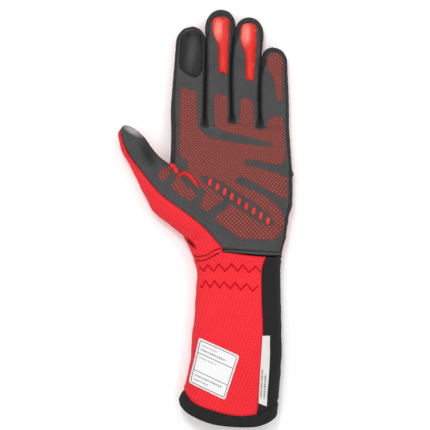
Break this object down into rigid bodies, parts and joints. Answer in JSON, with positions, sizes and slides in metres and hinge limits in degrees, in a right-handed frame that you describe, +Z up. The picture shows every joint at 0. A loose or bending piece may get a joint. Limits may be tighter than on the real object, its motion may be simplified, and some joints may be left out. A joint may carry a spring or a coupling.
{
  "type": "racing glove",
  "caption": "Long-cuff racing glove for the left hand, with a grey grip-printed palm, red knit back and open cuff, lying palm up.",
  "frame": {"origin": "under the middle of the glove, on the surface that it lies on", "axes": "+X to the little finger side, +Y to the fingertips, +Z up out of the palm"},
  "size_m": [0.1392, 0.3328, 0.0307],
  "materials": {
    "palm_suede": "grey suede, matt",
    "red_knit": "red mesh knit, matt",
    "side_cloth": "black stretch cloth, matt",
    "cuff_side_cloth": "black ribbed cloth, matt",
    "hem_cloth": "black binding, matt",
    "touch_leather": "dark smooth leather, slight sheen",
    "grip_rubber": "smooth red rubber, satin",
    "grip_print": "red grip print in a fine diamond mesh",
    "label_cloth": "white woven label"
  },
  "bodies": {
    "root": {"palm_panel": "palm_suede", "heel_strip": "palm_suede", "back_panel": "red_knit", "thumb_side_panel": "red_knit", "thumb_gusset": "red_knit", "cuff_panel": "red_knit", "cuff_back_panel": "red_knit", "index_side_wall": "side_cloth", "fourchette_index_middle": "side_cloth", "fourchette_middle_ring": "side_cloth", "fourchette_ring_little": "side_cloth", "little_side_wall": "side_cloth", "cuff_side_panel": "cuff_side_cloth", "hem_binding": "hem_cloth", "touch_pad": "touch_leather", "middle_grip_patch": "grip_rubber", "ring_grip_patch": "grip_rubber", "grip_print_palm": "grip_print", "grip_print_little": "grip_print", "grip_print_thumb_tip": "grip_print", "grip_print_thumb_base": "grip_print", "care_label": "label_cloth", "side_tag": "label_cloth", "grip_rib_1": "grip_rubber", "grip_rib_2": "grip_rubber", "grip_rib_3": "grip_rubber", "grip_rib_4": "grip_rubber", "grip_rib_5": "grip_rubber", "grip_rib_6": "grip_rubber", "grip_rib_7": "grip_rubber", "grip_rib_8": "grip_rubber", "grip_rib_9": "grip_rubber"}
  },
  "joints": []
}
